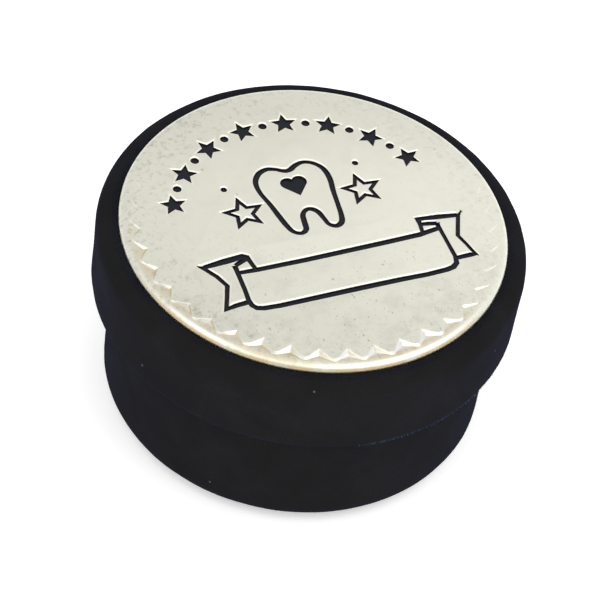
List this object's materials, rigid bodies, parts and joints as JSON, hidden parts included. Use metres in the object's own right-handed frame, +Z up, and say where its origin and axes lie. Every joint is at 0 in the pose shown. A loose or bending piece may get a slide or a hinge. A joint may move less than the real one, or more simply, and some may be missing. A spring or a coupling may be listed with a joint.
{
  "type": "baby tooth box",
  "caption": "Small round velvet keepsake box with a lift-off lid, a stamped pewter plate on top and satin cushions inside.",
  "frame": {"origin": "centre of the round base, on the floor", "axes": "+Z up through the middle of the lid; +X along the direction in which the plate reads, +Y towards the top of its design"},
  "size_m": [0.05, 0.05, 0.027],
  "materials": {
    "moulded_shell": "matte",
    "navy_velvet": "matte",
    "felt": "matte",
    "lining_card": "satin",
    "ivory_satin": "satin",
    "foam": "matte",
    "grey_card": "matte",
    "tape": "matte",
    "pewter": "satin"
  },
  "bodies": {
    "base": {"base_cup": "moulded_shell", "base_velvet": "navy_velvet", "base_sole": "felt", "base_lining": "lining_card", "base_pad_cover": "ivory_satin", "base_pad_foam": "foam", "base_pad_card": "grey_card"},
    "lid": {"lid_cap": "moulded_shell", "lid_velvet": "navy_velvet", "lid_pad_cover": "ivory_satin", "lid_pad_foam": "foam", "lid_pad_card": "grey_card", "plate_tape": "tape", "pewter_plate": "pewter"}
  },
  "joints": [
    {"name": "lid_lift", "type": "slide", "parent": "base", "child": "lid", "axis": [0, 0, 1], "range_m": [0, 0.03]}
  ]
}
